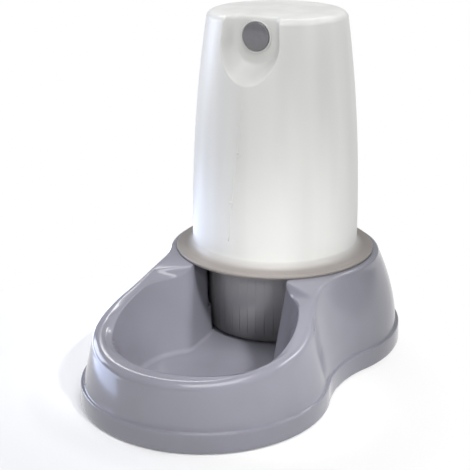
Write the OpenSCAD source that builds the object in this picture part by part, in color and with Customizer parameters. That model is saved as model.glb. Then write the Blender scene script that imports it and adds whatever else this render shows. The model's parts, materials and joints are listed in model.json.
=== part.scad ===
// Gravity pet water dispenser: a one-piece moulded base with a drinking bowl, a channel
// and a well, and an inverted water reservoir whose capped neck stands in the well.
// Units are millimetres. +Z is up, the bowl points to -Y, and the origin is the middle of
// the footprint on the surface that the dispenser stands on.

/* [Footprint] */
// Distance between the bowl axis and the reservoir axis
lobe_gap = 119; // [112:1:130]
// Outer radius of the foot round the bowl
bowl_foot_r = 85.5; // [84:1:94]
// Outer radius of the foot round the tower
tower_foot_r = 95.5; // [92:1:104]
// Radius of the hollow waist between bowl and tower
waist_r = 90; // [60:5:120]

/* [Base heights] */
// Height of the foot band
foot_h = 14; // [11:0.5:17]
// Height of the rim at the front of the bowl
front_rim_h = 43.4; // [38:0.2:48]
// Height that the rim gains in its first, slower rise
side_rim_h = 51.2; // [48:0.2:56]
// Height of the tower top
tower_h = 70; // [67:0.2:76]
// Height of the floor of bowl, channel and well
floor_h = 9.5; // [8.5:0.5:12]

/* [Base walls] */
// Wall thickness of the base
base_wall = 2.5; // [1.8:0.1:3]
// Step in from the foot band to the body
ledge = 2.7; // [1.5:0.1:4]
// Lean of the wall round the bowl, in mm for each mm of height
bowl_lean = 0.225; // [0.15:0.005:0.25]
// Lean of the tower wall just above the ledge
tower_lean = 0.073; // [0.05:0.001:0.09]
// Growth of the tower wall's lean with height
tower_curl = 0.0037; // [0.0025:0.0001:0.004]
// Width of the rounded shoulder on the bowl rim
bowl_shoulder_w = 7; // [4:0.5:8]
// Width of the rounded edge on the tower top
tower_shoulder_w = 3; // [1.5:0.1:3.5]

/* [Bowl] */
// Radius of the bowl's inner edge
bowl_r = 62.9; // [60:0.1:65]
// Radius of the bowl wall where it meets the floor
bowl_low_r = 49.2; // [46:0.2:56]
// Fillet between bowl wall and floor
bowl_fillet = 3; // [1:0.5:5]
// Height of the bowl's inner edge at the front
edge_front_h = 43.3; // [38:0.1:48]
// Height of the bowl's inner edge at the back
edge_back_h = 62.5; // [58:0.5:66]
// Rise of the rim from the inner edge outwards, for each mm
rim_slope = 0.4; // [0.2:0.05:0.6]
// Steepness of the step from the rim up to the tower top, in degrees
riser_angle = 60; // [45:5:75]

/* [Channel and well] */
// Half width of the channel at the rim
channel_top_w = 36.3; // [32:0.5:40]
// Half width of the channel at the floor
channel_low_w = 31.7; // [28:0.5:34]
// Clearance round the cap in the low part of the well
well_gap = 1.0; // [0.6:0.1:1.6]
// Step out from the low to the wide part of the well
well_step = 3.5; // [1:0.1:4]
// Height of that step
well_step_h = 30; // [24:1:40]

/* [Reservoir] */
// Radius of the reservoir above its flange
tank_r = 61.4; // [58:0.2:64]
// Radius of the reservoir at its top
tank_top_r = 50.4; // [46:0.2:54]
// Height of the reservoir top above the flange seat
tank_h = 176.6; // [140:1:200]
// Rounding of the top edge
tank_shoulder = 6.8; // [4:0.5:10]
// Wall thickness of the reservoir
tank_wall = 1.6; // [1.2:0.1:2.2]
// Radius of the flange that sits on the tower
flange_r = 73.6; // [71:0.2:76]
// Thickness of the flange
flange_t = 2.4; // [1.8:0.1:3.2]
// Outer radius of the neck
neck_r = 46.6; // [42:0.5:47]

/* [Grip notch and plug] */
// Distance of the notch's back wall from the reservoir axis
notch_back = 36.5; // [34:0.5:42]
// Half width of the notch at its back wall
notch_w = 16.5; // [14.5:0.1:18]
// Widening of the notch for each mm towards the front
notch_flare = 0.47; // [0.3:0.01:0.6]
// Height of the notch's back wall
notch_h = 33.2; // [28:0.5:40]
// Drop of the notch's floor for each mm towards the front
notch_drop = 0.6; // [0.3:0.05:0.9]
// Radius of the plug's face
plug_r = 10; // [8:0.1:11.5]
// Depth of the plug's centre below the reservoir top
plug_depth = 13.6; // [13:0.1:16]
// Radius of the plug's shank
plug_shank_r = 7.6; // [5:0.1:8.2]

/* [Cap] */
// Outer radius of the cap, without its grip ribs
cap_r = 50; // [49:0.1:51.5]
// Wall thickness of the cap
cap_wall = 1.8; // [1.5:0.1:2.4]
// Thickness of the cap's end wall
cap_floor = 2.2; // [1.6:0.1:3]
// Water gap between the well floor and the cap
cap_lift = 2; // [2:0.1:4]
// Gap between the top of the cap and the flange
cap_top_gap = 3; // [2:0.1:6]
// Number of grip ribs
grip_ribs = 48; // [24:4:60]
// How far the grip ribs stand out
grip_rib_h = 0.3; // [0.2:0.1:0.7]
// Thickness of the sealing ring
gasket_t = 1.6; // [1:0.1:2.4]
// Number of bayonet lugs
lugs = 3; // [3:1:4]

/* [Valve] */
// Radius of the outlet in the cap
outlet_r = 9; // [7:0.5:10]
// Lift of the valve when the reservoir is seated
valve_lift = 3; // [2:0.5:4]
// Radius of the valve stem
stem_r = 2.4; // [2:0.1:3]
// Height of the spring when the reservoir is seated
spring_h = 16; // [13:0.5:20]
// Number of working turns of the spring
spring_turns = 6; // [4:1:8]
// Wire radius of the spring
spring_wire_r = 0.5; // [0.4:0.05:0.6]

/* [Feet] */
// Radius of the rubber feet
pad_r = 7; // [5:0.5:8]
// How far the feet hold the shell off the surface
pad_stand = 0.8; // [0.4:0.1:1.5]

/* [Hidden] */
eps = 0.01;
// Clearances: stem in its guide, plug in its hole, foot in its socket, cap over the neck
run_gap = 0.06;
slip_gap = 0.15;
socket_gap = 0.1;
lug_gap = 0.3;
lug_play = 0.2;

// Places along Y
tank_y = (bowl_foot_r + lobe_gap - tower_foot_r) / 2;
bowl_y = tank_y - lobe_gap;

// Hollow waist: its centre touches both lobes, so offsets of the outline stay tangent
waist_cy = tank_y - (lobe_gap * lobe_gap + pow(tower_foot_r + waist_r, 2)
  - pow(bowl_foot_r + waist_r, 2)) / (2 * lobe_gap);
waist_cx = sqrt(pow(tower_foot_r + waist_r, 2) - pow(waist_cy - tank_y, 2));
front_end = atan2(waist_cy - bowl_y, waist_cx);
rear_start = atan2(waist_cy - tank_y, waist_cx);
lobe_steps = 14;
waist_steps = 9;
bowl_steps = 72;

// Rim: a slow rise beside the bowl, and a steeper one up to the tower
rise1_start = bowl_y - 76;
rise1_end = bowl_y - 7;
rise2_start = bowl_y - 19;
rise2_end = bowl_y + 61;
// The bowl's inner edge climbs from its front to its back height
edge_start = bowl_y - 39;
edge_end = bowl_y + 35;
// The wall's lean turns from that of the bowl to that of the tower along Y
lean_start = bowl_y + 9;
lean_end = tank_y - 40;

// Step up to the tower top: it starts at the channel's corner and runs forward to the waist
riser_start = [channel_top_w, bowl_y + 52.7, tower_h - 1];
riser_turn = 24.7;

// Cap and neck, from the well floor up
seat_z = tower_h;
cap_z = floor_h + cap_lift;
cap_in_z = cap_z + cap_floor;
neck_z = cap_in_z + gasket_t;
cap_top_z = seat_z - cap_top_gap;
cap_in_r = cap_r - cap_wall;
neck_in_r = neck_r - 2;
well_r = cap_r + grip_rib_h + well_gap;
lug_r = cap_in_r - lug_gap;
lug_z = cap_top_z - 16;
lug_h = 3;
lug_angle = 40;
first_lug = 70;

// Reservoir
tank_low_z = seat_z + flange_t + 5.6;
tank_top_z = seat_z + tank_h;
tank_side_z = tank_top_z - tank_shoulder * 0.75;
crown_h = 0.9;

// Notch and plug
notch_z = tank_top_z - notch_h;
notch_front = tank_r + 1;
plug_z = tank_top_z - plug_depth;

// Valve, stacked on the cap's end wall
seat_ring_h = 2;
valve_seat_z = cap_in_z + seat_ring_h;
seal_z = valve_seat_z + valve_lift;
seal_t = 2;
plate_z = seal_z + seal_t;
plate_t = 1.6;
spring_z = plate_z + plate_t;
cage_z = spring_z + spring_h;
post_top_z = cap_in_z + 1.2;
seal_r = outlet_r + 2.6;
cage_in_r = seal_r + 1;
spring_r = 6.2;

// Feet
pad_sink = 1.5;
pad_h = pad_stand + 1 + pad_sink;
boss_r = pad_r + 2;
front_pad = [36, bowl_y - 22];
rear_pad = [34, tank_y + 26];

SHELL_GREY = [0.57, 0.57, 0.61];
MILKY = [0.93, 0.93, 0.92];
DARK_GREY = [0.36, 0.36, 0.38];

function ease(t) = let (u = min(max(t, 0), 1)) u * u * (3 - 2 * u);
function mix(a, b, t) = a + (b - a) * t;
// How far the body wall lies inside the foot outline at height z, for a place along Y
function body_inset(z, y) = let (h = max(z - foot_h, 0),
    share = ease((y - lean_start) / (lean_end - lean_start)))
  ledge + mix(bowl_lean, tower_lean, share) * h + share * tower_curl * h * h;
// Height of the rim and tower top at a place along Y
function crest(y) = front_rim_h
  + (side_rim_h - front_rim_h) * ease((y - rise1_start) / (rise1_end - rise1_start))
  + (tower_h - side_rim_h) * ease((y - rise2_start) / (rise2_end - rise2_start));
function tower_share(y) = ease((y - rise2_start) / (rise2_end - rise2_start));
function shoulder_w(y) = mix(bowl_shoulder_w, tower_shoulder_w, tower_share(y));

// One sample of the right half of the outline: centre, radius, side and angle
half_outline = concat(
  [for (i = [0 : lobe_steps])
    [[0, bowl_y], bowl_foot_r, 1, mix(-90, front_end, i / lobe_steps)]],
  [for (i = [1 : waist_steps])
    [[waist_cx, waist_cy], waist_r, -1, mix(180 + front_end, 180 + rear_start, i / waist_steps)]],
  [for (i = [1 : lobe_steps])
    [[0, tank_y], tower_foot_r, 1, mix(rear_start, 90, i / lobe_steps)]]);
half_n = len(half_outline) - 1;

function outline_at(s, inset) = s[0] + (s[1] - s[2] * inset) * [cos(s[3]), sin(s[3])];
function foot_y(s) = outline_at(s, 0)[1];
// Place along Y where a sample's top edge comes to lie
function top_y(s) = let (y0 = foot_y(s))
  outline_at(s, body_inset(crest(y0), y0) + shoulder_w(y0))[1];

// A body level is [inset, z]; share 0 is the ledge and 1 the start of the shoulder
function wall_level(s, share, skin) = let (y = top_y(s),
    z = mix(foot_h, crest(y) - 0.75 * shoulder_w(y), share) - skin)
  [body_inset(z + skin, foot_y(s)) + skin, z];
function shoulder_level(s, turn) = let (y = top_y(s), w = shoulder_w(y),
    z = crest(y) - 0.75 * w)
  [body_inset(z, foot_y(s)) + w * (1 - cos(turn)), z + 0.75 * w * sin(turn)];
function under_top_level(s) = let (y = top_y(s))
  [body_inset(crest(y), foot_y(s)) + shoulder_w(y) + base_wall / 2, crest(y) - base_wall];

function outer_levels(s) = concat(
  [[0, pad_stand], [0.4, foot_h - 1.2], [0.9, foot_h - 0.3], [ledge, foot_h]],
  [for (share = [0.2, 0.45, 0.7, 1]) wall_level(s, share, 0)],
  [for (turn = [30, 60, 90]) shoulder_level(s, turn)]);
function inner_levels(s) = concat(
  [[0.4 + base_wall, -1], [0.4 + base_wall, foot_h - base_wall], [ledge + base_wall, foot_h - base_wall + 0.5]],
  [for (share = [0.4, 0.75, 1]) wall_level(s, share, base_wall)],
  [under_top_level(s)]);

// Closed loft over the whole outline, with a top of strips across the body
module outline_loft(levels) {
  rings = len(levels[0]);
  n = 2 * half_n;
  side = function (i) i <= half_n ? i : n - i;
  sign_x = function (i) i <= half_n ? 1 : -1;
  points = [for (k = [0 : rings - 1], i = [0 : n - 1])
    let (j = side(i), level = levels[j][k], p = outline_at(half_outline[j], level[0]))
      [sign_x(i) * p[0], p[1], level[1]]];
  top = (rings - 1) * n;
  sides = [for (k = [0 : rings - 2], i = [0 : n - 1], second = [0, 1])
    let (a = k * n + i, b = k * n + (i + 1) % n, c = b + n, d = a + n)
      second == 0 ? [a, d, c] : [a, c, b]];
  strips = [for (i = [1 : half_n - 2])
    [top + i, top + n - i, top + n - i - 1, top + i + 1]];
  ends = [[top, top + n - 1, top + 1],
    [top + half_n - 1, top + half_n + 1, top + half_n]];
  polyhedron(points, concat([[for (i = [0 : n - 1]) i]], sides, strips, ends), convexity = 8);
}

// Height of the bowl's inner edge at a place along Y
function edge_z(y) = mix(edge_front_h, edge_back_h, ease((y - edge_start) / (edge_end - edge_start)));

// Closed loft through level or tilted rings, with a fan to a point at each end
module ring_loft(rings, low, high) {
  n = len(rings[0]);
  last = (len(rings) - 1) * n;
  points = concat([for (ring = rings, p = ring) p], [low, high]);
  sides = [for (k = [0 : len(rings) - 2], i = [0 : n - 1], second = [0, 1])
    let (a = k * n + i, b = k * n + (i + 1) % n, c = b + n, d = a + n)
      second == 0 ? [a, d, c] : [a, c, b]];
  polyhedron(points, concat([for (i = [0 : n - 1]) [last + n, i, (i + 1) % n]], sides,
    [for (i = [0 : n - 1]) [last + n + 1, last + (i + 1) % n, last + i]]), convexity = 6);
}

// Point round the bowl axis; rise is added to the height of the inner edge there
function bowl_point(a, r, rise) = let (y = bowl_y + bowl_r * sin(a))
  [r * cos(a), bowl_y + r * sin(a), edge_z(y) + rise];

// Round bowl whose straight wall runs from the floor circle to the climbing inner edge
module bowl_hollow(skin) {
  z0 = floor_h - skin;
  turns = [for (i = [0 : bowl_steps - 1]) 360 * i / bowl_steps];
  low = [[-0.8, 0], [-0.27, 0.13], [0.2, 0.73]];
  ring_loft(concat(
    [for (step = low) [for (a = turns) let (r = bowl_low_r + skin + step[0] * bowl_fillet)
      [r * cos(a), bowl_y + r * sin(a), z0 + step[1] * bowl_fillet]]],
    [[for (a = turns) bowl_point(a, bowl_r + skin, 0)]],
    [[for (a = turns) [(bowl_r + skin) * cos(a), bowl_y + (bowl_r + skin) * sin(a), tower_h + 4]]]),
    [0, bowl_y, z0], [0, bowl_y, tower_h + 4]);
}

// Space above the sloping rim, in front of the step up to the tower top
module rim_hollow(skin) {
  turns = [for (i = [0 : bowl_steps - 1]) 360 * (i + 0.5) / bowl_steps];
  inside = -3;
  outside = 17;
  drop = 0.1 + 1.1 * skin;
  intersection() {
    ring_loft([
      [for (a = turns) bowl_point(a, bowl_r + inside, inside * rim_slope - drop)],
      [for (a = turns) bowl_point(a, bowl_r + outside, outside * rim_slope - drop)],
      [for (a = turns) let (r = bowl_r + outside) [r * cos(a), bowl_y + r * sin(a), tower_h + 14]]],
      [0, bowl_y, (edge_front_h + edge_back_h) / 2], [0, bowl_y, tower_h + 14]);
    before_riser(skin);
    mirror([1, 0, 0]) before_riser(skin);
  }
}

// Everything in front of and above the right-hand step
module before_riser(skin) {
  translate(riser_start) rotate([0, 0, -riser_turn]) rotate([riser_angle, 0, 0])
    translate([-2 * lobe_gap, -2 * lobe_gap, -skin]) cube([4 * lobe_gap, 4 * lobe_gap, lobe_gap]);
}

module channel_hollow(skin) {
  z0 = floor_h - skin;
  lean = (channel_top_w - channel_low_w) / (tower_h - floor_h);
  low = channel_low_w + skin;
  corner = 2 + skin;
  top_z = tower_h + 4;
  half = concat([[low - corner, z0]],
    [for (a = [-60 : 30 : 0]) [low - corner + corner * cos(a), z0 + corner + corner * sin(a)]],
    [[low + lean * (top_z - z0 - corner), top_z]]);
  mirrored = [for (i = [len(half) - 1 : -1 : 0]) [-half[i][0], half[i][1]]];
  translate([0, tank_y, 0]) rotate([90, 0, 0]) linear_extrude(lobe_gap) polygon(concat(half, mirrored));
}

module well_hollow(skin) {
  translate([0, tank_y, floor_h - skin]) {
    cylinder(r = well_r + skin, h = tower_h, $fn = 96);
    translate([0, 0, well_step_h - floor_h])
      cylinder(r = well_r + well_step + skin, h = tower_h, $fn = 96);
  }
}

module hollows(skin) {
  bowl_hollow(skin);
  rim_hollow(skin);
  channel_hollow(skin);
  well_hollow(skin);
}

module at_pads() {
  for (side = [-1, 1], place = [front_pad, rear_pad])
    translate([side * place[0], place[1], 0]) children();
}

module base_shell() {
  color(SHELL_GREY) {
    difference() {
      outline_loft([for (s = half_outline) outer_levels(s)]);
      hollows(0);
      difference() {
        outline_loft([for (s = half_outline) inner_levels(s)]);
        hollows(base_wall);
        at_pads() translate([0, 0, pad_stand + 1]) cylinder(r = boss_r, h = floor_h, $fn = 32);
      }
      at_pads() cylinder(r = pad_r + socket_gap, h = pad_h, $fn = 32);
    }
    // Post that lifts the valve when the reservoir is seated
    translate([0, tank_y, floor_h - 1]) cylinder(r1 = 4.6, r2 = 3.2, h = post_top_z - floor_h + 1, $fn = 32);
  }
}

module foot(place) {
  color([0.16, 0.16, 0.17]) translate([place[0], place[1], 0]) rotate_extrude($fn = 32)
    polygon([[0, 0], [pad_r - 1, 0], [pad_r - 0.3, 0.3], [pad_r, 1], [pad_r, pad_h], [0, pad_h]]);
}

// Outer profile of the reservoir's side between the flange and the shoulder
function tank_side(z) = let (t = (z - tank_low_z) / (tank_side_z - tank_low_z))
  tank_r - (tank_r - tank_top_r) * pow(max(t, 0), 2.2);

module tank_outer() {
  fillet_w = 7.5;
  fillet_h = 5;
  side_steps = 10;
  rim_z = seat_z + flange_t;
  polygon(concat(
    [[0, seat_z], [flange_r - 0.8, seat_z], [flange_r, seat_z + 0.8],
      [flange_r, rim_z - 0.8], [flange_r - 0.8, rim_z]],
    [for (a = [0 : 18 : 90]) [tank_r + fillet_w * (1 - sin(a)), rim_z + 0.6 + fillet_h * (1 - cos(a))]],
    [for (i = [0 : side_steps])
      let (z = mix(tank_low_z + 1, tank_side_z, i / side_steps)) [tank_side(z), z]],
    [for (a = [20 : 23 : 89]) [tank_top_r - tank_shoulder * (1 - cos(a)),
      tank_side_z + tank_shoulder * 0.75 * sin(a)]],
    [[tank_top_r / 2, tank_top_z + crown_h * 0.7], [0, tank_top_z + crown_h]]));
}

module tank_inner() {
  side_steps = 10;
  floor_z = seat_z + flange_t + 1;
  polygon(concat(
    [[0, seat_z - 1], [neck_in_r, seat_z - 1], [neck_in_r, floor_z],
      [tank_r - tank_wall - 3, floor_z], [tank_r - tank_wall, floor_z + 3]],
    [for (i = [1 : side_steps])
      let (z = mix(tank_low_z + 1, tank_side_z, i / side_steps)) [tank_side(z) - tank_wall, z]],
    [[tank_top_r - tank_wall - 2, tank_top_z - tank_wall - 2],
      [tank_top_r - tank_shoulder - 1, tank_top_z - tank_wall],
      [0, tank_top_z + crown_h - tank_wall]]));
}

// Upright plate of the notch: straight sides above a round bottom
module notch_plate(half_w, low_z) {
  rotate([90, 0, 0]) linear_extrude(eps) {
    translate([0, low_z + half_w]) circle(r = half_w, $fn = 48);
    translate([-half_w, low_z + half_w]) square([2 * half_w, tank_top_z + 12 - low_z - half_w]);
  }
}

module notch_hollow(skin) {
  run = notch_front - notch_back;
  hull() {
    translate([0, -notch_back + skin, 0]) notch_plate(notch_w + skin, notch_z - skin);
    translate([0, -notch_front, 0])
      notch_plate(notch_w + notch_flare * run + skin, notch_z - notch_drop * run - skin);
  }
}

module reservoir() {
  wall = tank_wall;
  color(MILKY) translate([0, tank_y, 0]) {
    difference() {
      union() {
        difference() {
          rotate_extrude($fn = 96) tank_outer();
          notch_hollow(0);
          difference() {
            rotate_extrude($fn = 96) tank_inner();
            notch_hollow(wall);
          }
        }
        // Raised ring round the plug
        translate([0, -notch_back + eps, plug_z]) rotate([90, 0, 0])
          cylinder(r = plug_r + 1.5, h = 1.2, $fn = 48);
      }
      translate([0, -notch_back, plug_z]) rotate([90, 0, 0]) {
        cylinder(r = plug_r + slip_gap, h = 5, $fn = 48);
        translate([0, 0, -wall - 1]) cylinder(r = plug_shank_r + slip_gap, h = wall + 2, $fn = 48);
      }
    }
  }
}

// Neck with its bayonet lugs; it is one moulding with the reservoir above it
module reservoir_neck() {
  color(MILKY) translate([0, tank_y, 0]) {
    rotate_extrude($fn = 96)
      polygon([[neck_in_r, neck_z], [neck_r - 0.6, neck_z], [neck_r, neck_z + 0.6],
        [neck_r, seat_z - 0.8], [neck_r + 0.8, seat_z], [neck_in_r, seat_z]]);
    for (i = [0 : lugs - 1]) rotate([0, 0, first_lug + i * 360 / lugs])
      rotate_extrude(angle = lug_angle, $fn = 96)
        translate([neck_r - 0.5, lug_z]) square([lug_r - neck_r + 0.5, lug_h]);
  }
}

module grip_plug() {
  color(DARK_GREY) translate([0, tank_y - notch_back, plug_z]) rotate([90, 0, 0])
    rotate_extrude($fn = 64)
      polygon([[0, -6], [plug_shank_r - 1.2, -6], [plug_shank_r + 0.7, -tank_wall - 1.6],
        [plug_shank_r + 0.7, -tank_wall - slip_gap], [plug_shank_r, -tank_wall - slip_gap],
        [plug_shank_r, 0], [plug_r, 0], [plug_r, 1.2], [plug_r - 0.8, 1.9], [plug_r * 0.6, 2.3],
        [0, 2.5]]);
}

// Plain outline of the cap with its grip ribs
module cap_ring() {
  share = 360 / grip_ribs;
  polygon([for (i = [0 : grip_ribs - 1], p = [[0, 0], [0.36, 0], [0.46, 1], [0.84, 1], [0.94, 0]])
    (cap_r + grip_rib_h * p[1]) * [cos((i + p[0]) * share), sin((i + p[0]) * share)]]);
}

module cap() {
  color(DARK_GREY) translate([0, tank_y, 0]) {
    difference() {
      union() {
        rotate_extrude($fn = 96) polygon([[0, cap_z], [cap_r - 1.6, cap_z], [cap_r - 0.4, cap_z + 0.5],
          [cap_r, cap_z + 1.6], [cap_r, cap_top_z], [0, cap_top_z]]);
        translate([0, 0, cap_z + 5]) linear_extrude(cap_top_z - cap_z - 9) cap_ring();
      }
      translate([0, 0, cap_in_z]) cylinder(r = cap_in_r, h = tower_h, $fn = 96);
      translate([0, 0, cap_z - 1]) cylinder(r = outlet_r, h = cap_floor + 2, $fn = 48);
    }
    // Seat ring for the valve
    translate([0, 0, cap_in_z - eps]) difference() {
      cylinder(r = outlet_r + 2, h = seat_ring_h + eps, $fn = 48);
      translate([0, 0, -1]) cylinder(r = outlet_r, h = seat_ring_h + 2, $fn = 48);
    }
    // Bayonet ledges that hook over the lugs of the neck, each with a stop at its closed end
    ledge_in_r = neck_r + lug_gap;
    ledge_z = lug_z + lug_h + lug_play;
    for (i = [0 : lugs - 1]) rotate([0, 0, first_lug + i * 360 / lugs]) {
      rotate_extrude(angle = lug_angle, $fn = 96)
        translate([ledge_in_r, ledge_z]) square([cap_in_r - ledge_in_r + 0.5, lug_h]);
      rotate([0, 0, -3.4]) rotate_extrude(angle = 3.4 - lug_gap, $fn = 96)
        translate([ledge_in_r, lug_z]) square([cap_in_r - ledge_in_r + 0.5, ledge_z + lug_h - lug_z]);
    }
  }
}

module cap_gasket() {
  color([0.12, 0.12, 0.13]) translate([0, tank_y, cap_in_z]) difference() {
    cylinder(r = cap_in_r - 0.3, h = gasket_t, $fn = 96);
    translate([0, 0, -1]) cylinder(r = neck_in_r + 0.5, h = gasket_t + 2, $fn = 96);
  }
}

module valve_cage() {
  leg_angle = 16;
  color([0.86, 0.86, 0.84]) translate([0, tank_y, 0]) difference() {
    union() {
      translate([0, 0, cap_in_z]) cylinder(r = cage_in_r + 2, h = seat_ring_h, $fn = 48);
      for (i = [0 : 2]) rotate([0, 0, 82 + i * 120]) rotate_extrude(angle = leg_angle, $fn = 48)
        translate([cage_in_r - 1, cap_in_z + 0.5]) square([2.7, cage_z + 1 - cap_in_z]);
      translate([0, 0, cage_z]) cylinder(r = cage_in_r + 2, h = 2, $fn = 48);
    }
    translate([0, 0, cap_in_z - 1]) cylinder(r = cage_in_r, h = cage_z - cap_in_z + 1, $fn = 48);
    cylinder(r = stem_r + run_gap, h = cage_z + 5, $fn = 48);
  }
}

module valve_stem() {
  color([0.80, 0.80, 0.78]) translate([0, tank_y, 0]) rotate_extrude($fn = 48)
    polygon([[0, post_top_z], [3.4, post_top_z], [4.6, seal_z - 1.4], [4.6, seal_z], [3, seal_z],
      [3, plate_z], [outlet_r + 0.6, plate_z], [outlet_r + 0.6, spring_z], [stem_r, spring_z],
      [stem_r, cage_z + 4], [stem_r - 0.8, cage_z + 5], [0, cage_z + 5]]);
}

module valve_seal() {
  color([0.10, 0.10, 0.11]) translate([0, tank_y, seal_z]) difference() {
    cylinder(r = seal_r, h = seal_t, $fn = 48);
    translate([0, 0, -1]) cylinder(r = 3, h = seal_t + 2, $fn = 48);
  }
}

// Open coil of round wire with a close turn at each end
module valve_spring() {
  wire_sides = 6;
  per_turn = 16;
  turns = spring_turns + 2;
  n = turns * per_turn;
  low = spring_z + spring_wire_r;
  rise = spring_h - 2 * spring_wire_r;
  closed = 2.1 * spring_wire_r;
  height = function (i) let (t = i / per_turn)
    low + closed * (min(t, 1) + max(t - turns + 1, 0))
      + (rise - 2 * closed) * min(max((t - 1) / spring_turns, 0), 1);
  points = [for (i = [0 : n], j = [0 : wire_sides - 1])
    let (a = 360 * i / per_turn, b = 360 * j / wire_sides, r = spring_r + spring_wire_r * cos(b))
      [r * cos(a), r * sin(a), height(i) + spring_wire_r * sin(b)]];
  sides = [for (i = [0 : n - 1], j = [0 : wire_sides - 1], second = [0, 1])
    let (a = i * wire_sides + j, b = i * wire_sides + (j + 1) % wire_sides,
      c = b + wire_sides, d = a + wire_sides)
      second == 0 ? [a, b, c] : [a, c, d]];
  color([0.75, 0.76, 0.78]) translate([0, tank_y, 0])
    polyhedron(points, concat([[for (j = [wire_sides - 1 : -1 : 0]) j],
      [for (j = [0 : wire_sides - 1]) n * wire_sides + j]], sides), convexity = 10);
}

base_shell();
foot([-front_pad[0], front_pad[1]]);  // foot_front_left
foot(front_pad);  // foot_front_right
foot([-rear_pad[0], rear_pad[1]]);  // foot_rear_left
foot(rear_pad);  // foot_rear_right
reservoir();
reservoir_neck();
grip_plug();
cap();
cap_gasket();
valve_cage();
valve_spring();
valve_stem();
valve_seal();
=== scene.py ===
"""Looks of a gravity pet water dispenser, laid out as an add-on.

One operator builds each group of pieces, and one the stage.
"""

import json
import math

import bmesh
import bpy
import numpy as np
from mathutils import Matrix, Vector

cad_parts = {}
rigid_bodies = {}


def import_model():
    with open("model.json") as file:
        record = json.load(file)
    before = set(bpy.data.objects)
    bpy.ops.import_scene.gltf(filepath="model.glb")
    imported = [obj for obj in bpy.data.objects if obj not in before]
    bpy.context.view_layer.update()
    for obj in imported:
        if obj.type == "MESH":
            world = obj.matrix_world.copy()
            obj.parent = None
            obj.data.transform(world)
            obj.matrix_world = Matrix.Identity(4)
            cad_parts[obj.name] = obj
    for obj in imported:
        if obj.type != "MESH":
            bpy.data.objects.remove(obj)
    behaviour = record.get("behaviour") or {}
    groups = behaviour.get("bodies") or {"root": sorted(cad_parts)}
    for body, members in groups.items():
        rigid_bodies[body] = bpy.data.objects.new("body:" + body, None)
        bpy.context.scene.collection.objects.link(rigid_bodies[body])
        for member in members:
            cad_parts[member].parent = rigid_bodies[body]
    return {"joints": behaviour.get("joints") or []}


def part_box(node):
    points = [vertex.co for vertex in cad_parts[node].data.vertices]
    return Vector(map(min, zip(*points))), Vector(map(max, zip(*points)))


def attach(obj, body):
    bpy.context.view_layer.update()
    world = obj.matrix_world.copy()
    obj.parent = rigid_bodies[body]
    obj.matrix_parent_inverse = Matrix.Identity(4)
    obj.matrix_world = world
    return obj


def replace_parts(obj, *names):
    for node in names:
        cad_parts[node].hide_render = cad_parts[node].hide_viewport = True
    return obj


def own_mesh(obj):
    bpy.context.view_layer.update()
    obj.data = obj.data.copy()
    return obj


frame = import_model()

bl_info = {
    "name": "Gravity Pet Water Dispenser",
    "version": (1, 0, 0),
    "blender": (4, 5, 0),
    "location": "View3D > Sidebar > Dispenser",
    "description": "Builds the finished pieces, the materials and the stage of a gravity pet water dispenser",
    "category": "Object",
}

# A millimetre in metres, and the millimetres in a metre
MM = 0.001
PER_M = 1000.0


def corners_mm(node):
    """Lowest and highest corner of a CAD node, in mm to one decimal."""
    return [[round(PER_M * c, 1) for c in corner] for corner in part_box(node)]


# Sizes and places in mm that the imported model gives
CAP_JOINT = next(joint for joint in frame["joints"] if joint["name"] == "cap_twist")
TANK_Y = round(PER_M * CAP_JOINT["pos_m"][1], 1)
STAND, TOWER_H = (corner[2] for corner in corners_mm("base_shell"))
FLANGE_R = corners_mm("reservoir")[1][0]
NECK_Z = corners_mm("reservoir_neck")[0][2]
CAP_Z, CAP_TOP_Z = (corner[2] for corner in corners_mm("cap"))
PLUG_LOW, PLUG_HIGH = corners_mm("grip_plug")
PLUG_R = PLUG_HIGH[0]
PLUG_Z = 0.5 * (PLUG_LOW[2] + PLUG_HIGH[2])
FEET = ("foot_front_right", "foot_front_left", "foot_rear_right", "foot_rear_left")

# Base in mm: foot outline, heights and walls
BOWL_Y = TANK_Y - 119.0
BOWL_FOOT_R = 85.5
TOWER_FOOT_R = 95.5
WAIST_R = 90.0
FOOT_H = 14.0
FRONT_RIM_H = 43.4
SIDE_RIM_H = 51.2
FLOOR_H = 9.5
LEDGE = 2.7
BASE_WALL = 2.5
BOWL_LEAN = 0.225
TOWER_LEAN = 0.073
TOWER_CURL = 0.0037
BOWL_SHOULDER_W = 7.0
TOWER_SHOULDER_W = 3.0

# Stretches along Y over which the base changes: where each starts, from the bowl's axis, and its run
SIDE_RISE = (-76.0, 69.0)
TOWER_RISE = (-19.0, 80.0)
EDGE_CLIMB = (-39.0, 74.0)
LEAN_CHANGE = (9.0, 70.0)

# Hollows of the base in mm
BOWL_R = 62.9
BOWL_LOW_R = 49.2
BOWL_FILLET = 3.0
FILLET_TOP_H = FLOOR_H + BOWL_FILLET
EDGE_FRONT_H = 43.3
EDGE_BACK_H = 62.5
RIM_SLOPE = 0.4
RIM_EDGE = 1.2
CHANNEL_TOP_W = 36.3
CHANNEL_LOW_W = 31.7
WELL_R = 51.3
WELL_WIDE_R = 54.8
WELL_STEP_H = 30.0
WELL_STEP_RUN = 1.2
WELL_FILLET = 2.0

# Step up to the tower top, which starts at the channel's corner and runs forward to the waist
RISER_PLACE = 52.7
RISER_TURN = math.radians(24.7)
RISER_SLOPE = math.radians(60.0)
RISER_BLEND = 2.0
CREST_BLEND = 1.2

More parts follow.
